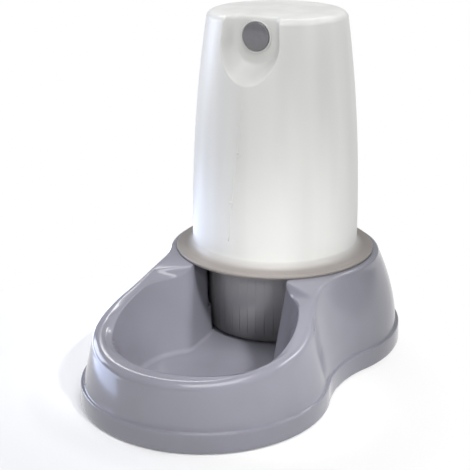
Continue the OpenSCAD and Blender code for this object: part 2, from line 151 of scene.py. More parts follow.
# Reservoir in mm
FLANGE_T = 2.4
RIM_Z = TOWER_H + FLANGE_T
TANK_R = 61.4
TANK_TOP_R = 50.4
TANK_LOW_Z = RIM_Z + 5.6
TANK_TOP_Z = 246.6
TANK_SHOULDER = 6.8
TANK_WALL = 1.6
CROWN_H = 0.9
NECK_R = 46.6
NECK_IN_R = 44.6
NOTCH_BACK = 36.5
NOTCH_W = 16.5
NOTCH_Z = 213.4
NOTCH_LIP = 3.0
NOTCH_FLARE = 0.47
NOTCH_DROP = 0.6
TANK_POINTS = 380

# A shoulder is this much lower than it is wide
SHOULDER_SHAPE = 0.75
TANK_SIDE_Z = TANK_TOP_Z - TANK_SHOULDER * SHOULDER_SHAPE

# Cap, lugs and spring in mm, and the lugs' angles in degrees
CAP_R = 50.0
CAP_WALL = 1.8
CAP_CORNER = 2.4
CAP_FLOOR = 2.2
CAP_IN_R = CAP_R - CAP_WALL
OUTLET_R = 9.0
RIB_R = 0.8
RIB_SINK = 0.71
RIB_H = 42.0
RIB_Z = CAP_Z + 27.0
LUGS = 3
LUG_FIRST = 70.0
LUG_ANGLE = 40.0
LUG_Z = 51.0
LUG_H = 3.0
SPRING_R = 6.2
SPRING_WIRE_R = 0.5
SPRING_H = 15.0
SPRING_Z = 22.8

# Profile from the base's wall to its underside, as inset from the foot outline and height, in mm
FOOT_PROFILE = (
    (LEDGE, FOOT_H + 0.9), (LEDGE - 0.15, FOOT_H + 0.35), (LEDGE - 0.4, FOOT_H + 0.1), (LEDGE - 0.8, FOOT_H),
    (1.3, FOOT_H), (0.9, FOOT_H - 0.08), (0.55, FOOT_H - 0.35), (0.4, FOOT_H - 0.8),
    (0.33, FOOT_H - 2.0), (0.2, FOOT_H - 6.0), (0.1, FOOT_H - 10.0),
    (0.0, STAND + 0.5), (0.12, STAND + 0.14), (0.5, STAND), (2.2, STAND), (2.7, STAND + 0.3),
    (2.8, 8.0), (3.0, FOOT_H - BASE_WALL), (LEDGE + BASE_WALL, FOOT_H - BASE_WALL + 0.5),
)

# Profile of the reservoir's flange and neck, from the side down to the mouth and up inside, in mm
NECK_PROFILE = (
    (TANK_R + 8.3, RIM_Z + 0.1), (TANK_R + 8.8, RIM_Z), (FLANGE_R - 0.9, RIM_Z),
    (FLANGE_R - 0.3, RIM_Z - 0.15), (FLANGE_R, RIM_Z - 0.7), (FLANGE_R, TOWER_H + 0.7),
    (FLANGE_R - 0.3, TOWER_H + 0.1), (FLANGE_R - 0.8, TOWER_H), (NECK_R + 0.8, TOWER_H),
    (NECK_R, TOWER_H - 0.8), (NECK_R, NECK_Z + 0.6), (NECK_R - 0.6, NECK_Z),
    (NECK_IN_R + 0.4, NECK_Z), (NECK_IN_R, NECK_Z + 0.4), (NECK_IN_R, RIM_Z + 1.0),
    (TANK_R - 5.0, RIM_Z + 1.2), (TANK_R - 2.2, RIM_Z + 2.6),
)


def ease(t):
    u = np.clip(t, 0.0, 1.0)
    return u * u * (3.0 - 2.0 * u)


def mix(a, b, t):
    return a + (b - a) * t


def smooth_max(a, b, width):
    """The larger of two, with a rounded change-over of that width."""
    h = np.clip(width - np.abs(a - b), 0.0, None) / width
    return np.maximum(a, b) + h * h * width * 0.25


# Shape of the base


def share_along(y, stretch):
    """Share of a change that is reached at a place along Y."""
    start, run = stretch
    return ease((y - BOWL_Y - start) / run)


def crest(y):
    """Height of the rim, and of the tower top, at a place along Y."""
    low = mix(FRONT_RIM_H, SIDE_RIM_H, share_along(y, SIDE_RISE))
    return low + (TOWER_H - SIDE_RIM_H) * share_along(y, TOWER_RISE)


def edge_z(y):
    """Height of the bowl's inner edge, which climbs from front to back."""
    return mix(EDGE_FRONT_H, EDGE_BACK_H, share_along(y, EDGE_CLIMB))


def top_height(x, y):
    """Height of the top face: the crest, cut by the sloping rim in front of the step up to the tower."""
    out = np.maximum(np.hypot(x, y - BOWL_Y), 1.0)
    edge_y = BOWL_Y + BOWL_R * (y - BOWL_Y) / out
    rim = edge_z(edge_y) + RIM_SLOPE * (out - BOWL_R)
    beside = math.sin(RISER_TURN) * (np.abs(x) - CHANNEL_TOP_W)
    behind = beside + math.cos(RISER_TURN) * (y - BOWL_Y - RISER_PLACE)
    riser = TOWER_H - 1.0 + math.tan(RISER_SLOPE) * behind
    return -smooth_max(-crest(y), -smooth_max(rim, riser, RISER_BLEND), CREST_BLEND)


def shoulder_w(y):
    return mix(BOWL_SHOULDER_W, TOWER_SHOULDER_W, share_along(y, TOWER_RISE))


def body_inset(z, y):
    """How far the body wall lies inside the foot outline."""
    h = np.clip(z - FOOT_H, 0.0, None)
    share = share_along(y, LEAN_CHANGE)
    return LEDGE + mix(BOWL_LEAN, TOWER_LEAN, share) * h + share * TOWER_CURL * h * h


def waist_centre():
    gap = TANK_Y - BOWL_Y
    big = TOWER_FOOT_R + WAIST_R
    drop = (gap * gap + big * big - (BOWL_FOOT_R + WAIST_R) ** 2) / (2.0 * gap)
    return math.sqrt(big * big - drop * drop), TANK_Y - drop


class Outline:
    """Right half of the foot outline, by length from the front, with its inward offset."""

    def __init__(self):
        self.cx, self.cy = waist_centre()
        self.front = math.atan2(self.cy - BOWL_Y, self.cx)
        self.rear = math.atan2(self.cy - TANK_Y, self.cx)
        self.bowl_len = BOWL_FOOT_R * (self.front + math.pi / 2)
        self.waist_len = WAIST_R * (self.front - self.rear)
        self.length = self.bowl_len + self.waist_len + TOWER_FOOT_R * (math.pi / 2 - self.rear)

    def at(self, length, inset):
        """Points on the outline, moved inwards by inset."""
        a = -math.pi / 2 + length / BOWL_FOOT_R
        w = math.pi + self.front - (length - self.bowl_len) / WAIST_R
        t = self.rear + (length - self.bowl_len - self.waist_len) / TOWER_FOOT_R
        on_waist = (length > self.bowl_len) & (length < self.bowl_len + self.waist_len)
        on_tower = length >= self.bowl_len + self.waist_len
        bowl_r, waist_r, tower_r = BOWL_FOOT_R - inset, WAIST_R + inset, TOWER_FOOT_R - inset
        x = np.where(on_waist, self.cx + waist_r * np.cos(w), bowl_r * np.cos(a))
        y = np.where(on_waist, self.cy + waist_r * np.sin(w), BOWL_Y + bowl_r * np.sin(a))
        return np.where(on_tower, tower_r * np.cos(t), x), np.where(on_tower, TANK_Y + tower_r * np.sin(t), y)

    def length_at_y(self, y):
        lengths = np.linspace(0.0, self.length, 2000)
        return float(np.interp(y, self.at(lengths, 0.0)[1], lengths))


def mirrored(x, y, z):
    """Closed ring from its right half, which starts at the front middle and ends at the rear middle."""
    half = np.stack([x, y, z], 1)
    other = half[1:-1][::-1].copy()
    other[:, 0] *= -1.0
    return np.concatenate([half, other])


def outward(ring):
    """Unit vectors in plan, away from the inside of a ring that runs anticlockwise."""
    step = np.roll(ring[:, :2], -1, 0) - np.roll(ring[:, :2], 1, 0)
    step /= np.maximum(np.linalg.norm(step, axis=1, keepdims=True), 1e-9)
    return np.stack([step[:, 1], -step[:, 0]], 1)


def softened(ring, sigma):
    """The ring with its corners rounded in plan; sigma is in samples."""
    reach = int(4 * sigma)
    w = np.exp(-0.5 * (np.arange(-reach, reach + 1) / sigma) ** 2)
    w /= w.sum()
    out = ring.copy()
    for axis in (0, 1):
        out[:, axis] = sum(w[k + reach] * np.roll(ring[:, axis], k) for k in range(-reach, reach + 1))
    return out


class Hollow:
    """Bowl, channel and well as one closed ring in plan for each height."""

    # Samples along the bowl, the channel and the well, and how many of them a corner is rounded over
    COUNTS = (132, 26, 102)
    CORNER_SIGMA = 2.8

    def __init__(self):
        a, b, c = self.COUNTS
        self.n = a + b + c
        s = np.arange(self.n + 1)
        self.part = np.select([s < a, s < a + b], [0, 1], 2)
        self.share = np.select([s < a, s < a + b], [s / a, (s - a) / b], (s - a - b) / c)

    def half(self, z, skin=0.0):
        """Right half at height z, one height for each sample, with the walls moved out by skin."""
        floor = FLOOR_H - skin

        def filleted(wall, radius):
            """A wall's place, drawn in by the fillet at the floor."""
            f = radius + skin
            rise = np.clip(f - (z - floor), 0.0, f)
            return wall + skin - f + np.sqrt(f * f - rise * rise)

        channel_w = mix(CHANNEL_LOW_W, CHANNEL_TOP_W, (z - FLOOR_H) / (TOWER_H - FLOOR_H))
        channel = filleted(channel_w, WELL_FILLET)
        widening = ease((z - WELL_STEP_H) / WELL_STEP_RUN + 0.5)
        well_r = filleted(mix(WELL_R, WELL_WIDE_R, widening), WELL_FILLET)
        corner = np.full(self.n + 1, 1.0)
        for _ in range(8):
            # The wall is straight from the floor circle to the climbing inner edge
            edge = edge_z(BOWL_Y + BOWL_R * np.sin(mix(-math.pi / 2, corner, self.share)))
            up = (z - FLOOR_H) / (edge - FLOOR_H)
            bowl_r = filleted(np.minimum(mix(BOWL_LOW_R, BOWL_R, up), BOWL_R), BOWL_FILLET)
            corner_edge = edge_z(BOWL_Y + BOWL_R * np.sin(corner))
            corner_r = np.minimum(mix(BOWL_LOW_R, BOWL_R, (z - FLOOR_H) / (corner_edge - FLOOR_H)), BOWL_R)
            corner = np.arccos(channel / filleted(corner_r, BOWL_FILLET))
        corner_y = BOWL_Y + filleted(corner_r, BOWL_FILLET) * np.sin(corner)
        well_y = TANK_Y - np.sqrt(well_r**2 - channel**2)
        a = mix(-math.pi / 2, corner, self.share)
        t = mix(np.arctan2(well_y - TANK_Y, channel), math.pi / 2, self.share)
        x = np.select([self.part == 0, self.part == 1], [bowl_r * np.cos(a), channel], well_r * np.cos(t))
        y = np.select(
            [self.part == 0, self.part == 1],
            [BOWL_Y + bowl_r * np.sin(a), mix(corner_y, well_y, self.share)],
            TANK_Y + well_r * np.sin(t),
        )
        return x, y

    def ring(self, z, skin=0.0):
        """Closed ring with rounded corners; z has one height for each half sample."""
        z = z + np.zeros(self.n + 1)
        x, y = self.half(z, skin)
        return softened(mirrored(x, y, z), self.CORNER_SIGMA)

    def rim(self):
        """Height of the top edge for each half sample."""
        z = np.full(self.n + 1, SIDE_RIM_H)
        for _ in range(5):
            z = top_height(*self.half(z))
        return z

    def floor_rings(self, skin):
        """From the floor's edge up to the top of the bowl's fillet."""
        radius = BOWL_FILLET + skin
        turns = np.radians(np.linspace(90.0, 0.0, 13))
        return [self.ring(FLOOR_H - skin + radius * (1.0 - math.sin(turn)), skin) for turn in turns]


class Body:
    """Outside of the base, with samples that go with the hollow's."""

    def __init__(self, hollow):
        self.outline = Outline()
        a, b, _ = hollow.COUNTS
        # The samples meet at the front, the bowl's corner, the channel's end and the rear
        corner = self.outline.length_at_y(BOWL_Y + 46.0)
        end = self.outline.length_at_y(TANK_Y - 38.0)
        lengths = [0.0, corner, end, self.outline.length]
        self.s = np.interp(np.arange(hollow.n + 1), [0, a, a + b, hollow.n], lengths)
        self.foot_y = self.outline.at(self.s, 0.0)[1]
        top_y = self.foot_y.copy()
        for _ in range(4):
            top_y = self.outline.at(self.s, self.inset(crest(top_y)) + shoulder_w(top_y))[1]
        self.top = crest(top_y)
        self.width = shoulder_w(top_y)
        self.wall_z = self.top - SHOULDER_SHAPE * self.width

    def inset(self, z):
        return body_inset(z, self.foot_y)

    def ring(self, inset, z):
        x, y = self.outline.at(self.s, inset)
        return mirrored(x, y, z + 0.0 * x)


def drawn_in(ring):
    """The ring moved inwards a little, to carry the flat face inside it."""
    inner = ring.copy()
    inner[:, :2] -= outward(inner) * 0.4
    return inner


def hollow_rings(hollow, rim):
    """From the hollow's floor up its walls and over their rounded top edge."""
    rings = hollow.floor_rings(0.0)
    rings.insert(0, drawn_in(rings[0]))
    step = (WELL_STEP_H - FILLET_TOP_H) / (TOWER_H - RIM_EDGE - FILLET_TOP_H)
    near_step = [step + k for k in (-0.016, -0.008, 0.0, 0.008, 0.016)]
    for share in sorted([*np.linspace(0.06, 0.94, 12), *near_step, 0.98, 1.0]):
        rings.append(hollow.ring(mix(FILLET_TOP_H, rim - RIM_EDGE, share)))
    wall_top = rings[-1]
    away = outward(wall_top)
    for turn in np.radians(np.linspace(15.0, 90.0, 6)):
        r = wall_top.copy()
        r[:, :2] += away * RIM_EDGE * (1.0 - math.cos(turn))
        r[:, 2] = top_height(r[:, 0], r[:, 1]) - RIM_EDGE + RIM_EDGE * math.sin(turn)
        rings.append(r)
    return rings


def top_rings(edge, body):
    """From the hollow's edge over the top face to the shoulder."""
    shoulder = body.ring(body.inset(body.top) + body.width, body.top)
    rings = []
    for share in (0.05, 0.12, 0.2, 0.3, 0.4, 0.5, 0.6, 0.7, 0.8, 0.9):
        r = mix(edge, shoulder, share)
        r[:, 2] = top_height(r[:, 0], r[:, 1])
        rings.append(r)
    return rings


def outer_rings(body):
    """Shoulder, wall, ledge and foot band, and round the lower edge to the inside."""
    rings = []
    for turn in np.radians(np.linspace(90.0, 9.0, 10)):
        inset = body.inset(body.wall_z) + body.width * (1 - math.cos(turn))
        rings.append(body.ring(inset, body.wall_z + SHOULDER_SHAPE * body.width * math.sin(turn)))
    for share in np.linspace(1.0, 0.07, 14):
        z = mix(FOOT_H + 0.9, body.wall_z, share)
        rings.append(body.ring(body.inset(z), z))
    return rings + [body.ring(inset, z) for inset, z in FOOT_PROFILE]


def under_rings(hollow, body, rim):
    """Inside of the wall, underside of the top face, and outside of the hollow down to its floor."""
    rings = []
    for share in np.linspace(0.15, 1.0, 7):
        z = mix(FOOT_H, body.wall_z, share) - BASE_WALL
        rings.append(body.ring(body.inset(z + BASE_WALL) + BASE_WALL, z))
    outer = body.ring(body.inset(body.top) + body.width + BASE_WALL * 0.5, body.top - BASE_WALL)
    inner = hollow.ring(rim - BASE_WALL, BASE_WALL)
    inner[:, 2] = top_height(inner[:, 0], inner[:, 1]) - BASE_WALL * 1.4
    middle = mix(outer, inner, 0.5)
    middle[:, 2] = top_height(middle[:, 0], middle[:, 1]) - BASE_WALL * 1.3
    rings += [outer, middle, inner]
    for share in (0.7, 0.4, 0.15):
        rings.append(hollow.ring(mix(FILLET_TOP_H, rim - BASE_WALL, share), BASE_WALL))
    rings += hollow.floor_rings(BASE_WALL)[::-2]
    rings.append(drawn_in(rings[-1]))
    return rings


def base_rings():
    """Rings of the base's skin, from the middle of the hollow's floor over the rim to the underside."""
    hollow = Hollow()
    body = Body(hollow)
    rim = hollow.rim()
    rings = hollow_rings(hollow, rim)
    rings += top_rings(rings[-1], body)
    rings += outer_rings(body)
    return rings + under_rings(hollow, body, rim)


def mesh_from_rings(name, rings, closed_ends=True):
    """Skin over rings that all have the same number of points, in mm, faces outwards."""
    n = len(rings[0])
    verts = np.concatenate(rings) * MM
    faces = []
    for k in range(len(rings) - 1):
        a, b = k * n, (k + 1) * n
        faces += [(a + i, a + (i + 1) % n, b + (i + 1) % n, b + i) for i in range(n)]
    if closed_ends:
        faces.append(tuple(range(n - 1, -1, -1)))
        faces.append(tuple((len(rings) - 1) * n + i for i in range(n)))
    return new_mesh(name, verts.tolist(), faces)


def new_mesh(name, verts, faces):
    mesh = bpy.data.meshes.new(name)
    mesh.from_pydata(verts, [], faces)
    mesh.validate()
    obj = bpy.data.objects.new(name, mesh)
    bpy.context.scene.collection.objects.link(obj)
    outward_faces(obj)
    mesh.shade_smooth()
    return obj


def outward_faces(obj):
    """Turns the faces outwards."""
    bm = bmesh.new()
    bm.from_mesh(obj.data)
    bmesh.ops.recalc_face_normals(bm, faces=bm.faces)
    bm.to_mesh(obj.data)
    bm.free()


def revolve(name, profile, centre=(0.0, TANK_Y), steps=96, closed=False):
    """Solid of revolution about an upright axis.

    The profile is (radius, height) from axis to axis, or a closed loop.
    """
    cx, cy = centre
    verts, faces, rows = [], [], []
    for r, z in profile:
        if r < 1e-6 and not closed:
            rows.append([len(verts)])
            verts.append((cx, cy, z))
        else:
            rows.append(list(range(len(verts), len(verts) + steps)))
            for i in range(steps):
                a = 2 * math.pi * i / steps
                verts.append((cx + r * math.cos(a), cy + r * math.sin(a), z))
    pairs = list(zip(rows, rows[1:] + ([rows[0]] if closed else [])))
    if not closed:
        pairs = pairs[: len(rows) - 1]
    for low, high in pairs:
        for i in range(steps):
            j = (i + 1) % steps
            if len(low) == 1 and len(high) == 1:
                break
            if len(low) == 1:
                faces.append((low[0], high[j], high[i]))
            elif len(high) == 1:
                faces.append((low[i], low[j], high[0]))
            else:
                faces.append((low[i], low[j], high[j], high[i]))
    return new_mesh(name, [tuple(c * MM for c in v) for v in verts], faces)


def arc_block(name, start, angle, inner, outer, low, high):
    """Block that follows a circle about the reservoir axis, from a start angle in degrees."""
    steps = 14
    verts, faces = [], []
    for i in range(steps + 1):
        a = math.radians(start + angle * i / steps)
        for r, z in ((inner, low), (outer, low), (outer, high), (inner, high)):
            verts.append((r * math.cos(a) * MM, (TANK_Y + r * math.sin(a)) * MM, z * MM))
    for i in range(steps):
        a, b = 4 * i, 4 * i + 4
        faces += [(a + j, a + (j + 1) % 4, b + (j + 1) % 4, b + j) for j in range(4)]
    faces += [(3, 2, 1, 0), tuple(4 * steps + j for j in range(4))]
    return new_mesh(name, verts, faces)


def joined(name, objects):
    """One object from several, with their meshes' places kept."""
    bm = bmesh.new()
    for o in objects:
        bm.from_mesh(o.data)
    mesh = bpy.data.meshes.new(name)
    bm.to_mesh(mesh)
    bm.free()
    for o in objects:
        old = o.data
        bpy.data.objects.remove(o)
        bpy.data.meshes.remove(old)
    mesh.shade_smooth()
    obj = bpy.data.objects.new(name, mesh)
    bpy.context.scene.collection.objects.link(obj)
    return obj


# Shape of the reservoir


def side_radius(z):
    """Outer radius of the reservoir at height z, shoulder left out."""
    t = np.clip((z - TANK_LOW_Z) / (TANK_SIDE_Z - TANK_LOW_Z), 0.0, 1.2)
    return TANK_R - (TANK_R - TANK_TOP_R) * t**2.2


def notch_depth(x, z, skin):
    """Place along Y, from the reservoir axis, of the notch's wall behind a point of its opening."""
    ax = np.sqrt(x * x + 0.04)
    below = np.clip(NOTCH_Z + NOTCH_W - z, 0.0, None)
    reach = np.hypot(ax, below)
    out = reach - (NOTCH_W + skin)
    slope = mix(1.0 / NOTCH_FLARE, 1.0 / NOTCH_DROP, np.clip(below / reach, 0.0, 1.0) ** 2)
    rounded = 0.5 * (out + np.sqrt(out * out + 2.5))
    # The back turns over into the top with a round lip
    lip = np.clip(z + skin - TANK_TOP_Z + NOTCH_LIP, 0.0, NOTCH_LIP)
    back = -NOTCH_BACK + skin + NOTCH_LIP - np.sqrt(NOTCH_LIP**2 - lip**2)
    return back - rounded * slope


def tank_ring(radius, z, skin=0.0):
    """Closed level line of the reservoir at height z, notch included. Columns in front keep their X."""
    front_half = 31.0
    cols = int(TANK_POINTS * 0.42)
    r = float(radius)
    span = min(front_half, r * 0.62)
    x_front = np.linspace(-span, span, cols)
    y_front = -np.sqrt(r * r - x_front**2)
    if z > NOTCH_Z - 30.0:
        y_front = smooth_max(y_front, notch_depth(x_front, np.full(cols, z), skin), 1.6)
    edge = math.asin(span / r)
    rest = np.linspace(-math.pi / 2 + edge, 1.5 * math.pi - edge, TANK_POINTS - cols + 2)[1:-1]
    x = np.concatenate([x_front, r * np.cos(rest)])
    y = np.concatenate([y_front, r * np.sin(rest)]) + TANK_Y
    return np.stack([x, y, np.full(len(x), z)], 1)


def crown_rings(rim, shares, skin=0.0):
    """Rings of the slightly crowned top, drawn in from its rim towards a point behind the notch."""
    centre = np.array([0.0, TANK_Y + 6.0, TANK_TOP_Z + CROWN_H])
    rings = []
    for share in shares:
        r = mix(centre, rim, share)
        r[:, 2] = TANK_TOP_Z - skin + CROWN_H * (1.0 - share * share)
        rings.append(r)
    return rings


def tank_outside():
    """Rings from the top's middle down the side to the foot of the reservoir's wall."""
    rim = tank_ring(TANK_TOP_R - TANK_SHOULDER, TANK_TOP_Z)
    rings = crown_rings(rim, (0.02, 0.15, 0.3, 0.45, 0.6, 0.75, 0.88, 0.96)) + [rim]
    for turn in np.radians(np.linspace(82.0, 6.0, 14)):
        z = TANK_SIDE_Z + TANK_SHOULDER * SHOULDER_SHAPE * math.sin(turn)
        rings.append(tank_ring(TANK_TOP_R - TANK_SHOULDER * (1 - math.cos(turn)), z))
    notched = np.linspace(TANK_SIDE_Z, NOTCH_Z - 14.0, 84)
    plain_side = np.linspace(NOTCH_Z - 17.0, TANK_LOW_Z, 34)
    rings += [tank_ring(side_radius(z), z) for z in (*notched, *plain_side)]
    for a in np.radians(np.linspace(75.0, 0.0, 6)):
        z = RIM_Z + 0.6 + 5.0 * (1 - math.cos(a))
        rings.append(tank_ring(TANK_R + 7.5 * (1 - math.sin(a)), z))
    return rings


def tank_inside():
    """Rings of the inner skin, from the foot of the wall up to the top's middle."""
    plain_side = np.linspace(TANK_LOW_Z, NOTCH_Z - 17.0, 12)
    notched = np.linspace(NOTCH_Z - 14.0, TANK_SIDE_Z, 24)
    rings = [tank_ring(side_radius(z) - TANK_WALL, z, TANK_WALL) for z in (*plain_side, *notched)]
    for turn in np.radians((25.0, 50.0, 75.0)):
        r = TANK_TOP_R - TANK_WALL - (TANK_SHOULDER - TANK_WALL) * (1 - math.cos(turn))
        z = TANK_SIDE_Z + (TANK_SHOULDER * SHOULDER_SHAPE - TANK_WALL) * math.sin(turn)
        rings.append(tank_ring(r, z, TANK_WALL))
    return rings + crown_rings(rings[-1], (0.8, 0.5, 0.02), TANK_WALL)


def reservoir_rings():
    """Rings of the outer skin, the flange and neck, and the inner skin."""
    neck = [tank_ring(r, z) for r, z in NECK_PROFILE]
    return tank_outside() + neck + tank_inside()


def front_y(x, z):
    """Place along Y of the reservoir's front wall beside the notch."""
    r = side_radius(z)
    return TANK_Y - math.sqrt(r * r - x * x)


def round_section(width, relief, count):
    """Points of a low half-sunk bead, as sideways and outward steps."""
    turns = np.linspace(0.0, 2.0 * math.pi, count + 1)[:-1]
    return [(width * math.cos(a), relief * math.sin(a)) for a in turns]


def mould_line(name, start, end, width, relief):
    """Low bead on the reservoir's front from start to end, each given as X and height."""
    steps = 24
    rings = []
    for i in range(steps + 1):
        x, z = mix(np.array(start), np.array(end), i / steps)
        y = front_y(x, z)
        section = round_section(width, relief, 12)
        rings.append(np.array([(x + across, y - out + 0.1, z) for across, out in section]))
    return mesh_from_rings(name, rings)


def mould_ring(name, x, z, radius, relief):
    """Low round bead on the reservoir's front."""
    y = front_y(x, z)
    profile = [(radius + across, out) for across, out in round_section(0.45, relief, 10)]
    ring = revolve(name, profile, (0.0, 0.0), 32, closed=True)
    face = Vector((x, y - TANK_Y, 0.0)).to_track_quat("Z", "Y").to_matrix().to_4x4()
    ring.data.transform(Matrix.Translation((x * MM, y * MM, z * MM)) @ face)
    return ring


# Materials


def linear(hex_colour):
    """Linear colour from an sRGB hex string."""
    parts = [int(hex_colour[i : i + 2], 16) / 255.0 for i in (1, 3, 5)]
    return tuple(c / 12.92 if c <= 0.04045 else ((c + 0.055) / 1.055) ** 2.4 for c in parts) + (1.0,)


def add_node(tree, kind, values=None, stops=(), **settings):
    """A node with its settings and colour stops, and its input values or links by name or number."""
    node = tree.nodes.new(kind)
    for key, value in settings.items():
        setattr(node, key, value)
    for number, (place, colour) in enumerate(stops):
        node.color_ramp.elements[number].position = place
        node.color_ramp.elements[number].color = colour
    for key, value in (values or {}).items():
        if isinstance(value, bpy.types.NodeSocket):
            tree.links.new(value, node.inputs[key])
        else:
            node.inputs[key].default_value = value
    return node


def tones(dark, light):
    """Colour stops from end to end of a ramp, from two sRGB hex strings."""
    return (0.0, linear(dark)), (1.0, linear(light))


def new_material(name):
    """The material of that name with an empty node tree, and the tree."""
    mat = bpy.data.materials.get(name) or bpy.data.materials.new(name)
    mat.use_nodes = True
    mat.node_tree.nodes.clear()
    return mat, mat.node_tree


def object_mm(tree, centre=(0.0, 0.0, 0.0)):
    """Object coordinates in mm, from a centre in mm."""
    coords = add_node(tree, "ShaderNodeTexCoord")
    mapping = add_node(tree, "ShaderNodeMapping", {
        "Vector": coords.outputs["Object"], "Location": [-c for c in centre], "Scale": (PER_M, PER_M, PER_M)})
    return mapping.outputs[0]


def chosen(*names):
    """Colours from the panel, by the names of their settings."""
    return [getattr(bpy.context.scene.dispenser, name) for name in names]


def base_plastic():
    # Injection-moulded polypropylene: an even blue-grey with a deep gloss. Its tone drifts over about
    # 50 mm, and a faint ripple of about 17 mm from the flow in the mould bends the reflections.
    dark, light = chosen("base_dark", "base_light")
    mat, tree = new_material("Glossy Blue-Grey Polypropylene")
    where = object_mm(tree)
    cloud = add_node(tree, "ShaderNodeTexNoise", {"Vector": where, "Scale": 1.0 / 50.0, "Detail": 2.0})
    stops = ((0.35, dark), (0.65, light))
    tone = add_node(tree, "ShaderNodeValToRGB", {"Fac": cloud.outputs[0]}, stops)
    ripple = add_node(tree, "ShaderNodeTexNoise", {"Vector": where, "Scale": 0.06, "Detail": 1.0})
    bump = add_node(tree, "ShaderNodeBump", {
        "Height": ripple.outputs[0], "Strength": 0.05, "Distance": 0.002})
    shader = add_node(tree, "ShaderNodeBsdfPrincipled", {
        "Base Color": tone.outputs[0], "Normal": bump.outputs[0], "Roughness": 0.16, "IOR": 1.5,
        "Coat Weight": 0.15, "Coat Roughness": 0.05})
    add_node(tree, "ShaderNodeOutputMaterial", {0: shader.outputs[0]})
    return mat


def tank_plastic():
    # Blow-moulded polyethylene: milky, with a soft sheen and some light through it. Upright streaks about
    # 22 mm wide and 250 mm long come from the stretched tube. The flat flange looks warm grey.
    dark, light, flange = chosen("tank_dark", "tank_light", "flange_tone")
    mat, tree = new_material("Milky Blow-Moulded Polyethylene")
    where = object_mm(tree, (0.0, TANK_Y, 0.0))
    streaked = add_node(tree, "ShaderNodeMapping", {"Vector": where, "Scale": (0.045, 0.045, 0.004)})
    streak = add_node(tree, "ShaderNodeTexNoise", {
        "Vector": streaked.outputs[0], "Scale": 1.0, "Detail": 1.5})
    stops = ((0.38, dark), (0.62, light))
    tone = add_node(tree, "ShaderNodeValToRGB", {"Fac": streak.outputs[0]}, stops)
    parts = add_node(tree, "ShaderNodeSeparateXYZ", {0: where})
    height = add_node(tree, "ShaderNodeMapRange", {0: parts.outputs[2], 1: 73.2, 2: 79.0, 3: 0.0, 4: 1.0})
    colour = add_node(
        tree, "ShaderNodeMix", {0: height.outputs[0], 6: flange, 7: tone.outputs[0]}, data_type="RGBA")
    skin = add_node(tree, "ShaderNodeBsdfPrincipled", {
        "Base Color": colour.outputs[2], "Roughness": 0.36, "IOR": 1.5,
        "Coat Weight": 0.05, "Coat Roughness": 0.1})
    glow = add_node(tree, "ShaderNodeBsdfTranslucent", {"Color": colour.outputs[2]})
    both = add_node(tree, "ShaderNodeMixShader", {0: 0.3, 1: skin.outputs[0], 2: glow.outputs[0]})
    add_node(tree, "ShaderNodeOutputMaterial", {0: both.outputs[0]})
    return mat


def cap_plastic():
    # Injection-moulded plastic with a satin skin. Painted shade and light: the grey is painted darker towards
    # the cap's foot, for the shade in the well, where little light falls, and lighter towards its top.
    dark, light = chosen("cap_painted_shade_foot", "cap_painted_light_top")
    mat, tree = new_material("Dark Grey Moulded Plastic")
    parts = add_node(tree, "ShaderNodeSeparateXYZ", {0: object_mm(tree)})
    # Painted shade and light: the tone follows height, darker low in the well and lighter near the top
    height = add_node(tree, "ShaderNodeMapRange", {0: parts.outputs[2], 1: 12.0, 2: 66.0, 3: 0.0, 4: 1.0})
    stops = ((0.0, dark), (1.0, light))
    tone = add_node(tree, "ShaderNodeValToRGB", {"Fac": height.outputs[0]}, stops)
    shader = add_node(tree, "ShaderNodeBsdfPrincipled", {
        "Base Color": tone.outputs[0], "Roughness": 0.32, "IOR": 1.5,
        "Coat Weight": 0.1, "Coat Roughness": 0.15})
    add_node(tree, "ShaderNodeOutputMaterial", {0: shader.outputs[0]})
    return mat


def speckled(name, dark, light, grain, roughness, metallic=0.0):
    """A finish with a fine grain between two tones. The grain is in specks per mm."""
    mat, tree = new_material(name)
    fine = add_node(tree, "ShaderNodeTexNoise", {"Vector": object_mm(tree), "Scale": grain, "Detail": 3.0})
    tone = add_node(tree, "ShaderNodeValToRGB", {"Fac": fine.outputs[0]}, tones(dark, light))
    shader = add_node(tree, "ShaderNodeBsdfPrincipled", {
        "Base Color": tone.outputs[0], "Roughness": roughness, "Metallic": metallic})
    add_node(tree, "ShaderNodeOutputMaterial", {0: shader.outputs[0]})
    return mat


def plug_plastic():
    # Polished mould: a dark grey face that mirrors the studio under a clear top layer
    mat, tree = new_material("Polished Dark Grey Plastic")
    fine = add_node(tree, "ShaderNodeTexNoise", {
        "Vector": object_mm(tree), "Scale": 1.0 / 2.5, "Detail": 2.0})
    tone = add_node(tree, "ShaderNodeValToRGB", {"Fac": fine.outputs[0]}, tones("#67676C", "#737378"))
    shader = add_node(tree, "ShaderNodeBsdfPrincipled", {
        "Base Color": tone.outputs[0], "Roughness": 0.12, "IOR": 1.5,
        "Coat Weight": 0.5, "Coat Roughness": 0.04})
    add_node(tree, "ShaderNodeOutputMaterial", {0: shader.outputs[0]})
    return mat


def foot_rubber():
    # Moulded rubber: matt and nearly black, with a faint bloom
    return speckled("Black Foot Rubber", "#242426", "#303032", 0.3, 0.8)


def seal_rubber():
    # Silicone rubber: smoother than the feet, so it has a dull shine
    return speckled("Black Silicone Rubber", "#1A1A1C", "#242426", 0.3, 0.55)


def valve_plastic():
    # Machined or moulded acetal: off-white with a waxy surface
    return speckled("Off-White Acetal", "#D2D2CE", "#DCDCD8", 0.3, 0.4)


def spring_steel():
    # Drawn wire: bright metal with fine marks, drawn coarser than they are so that they show
    return speckled("Drawn Stainless Wire", "#A8AAAE", "#BEC0C4", 1.5, 0.3, metallic=1.0)


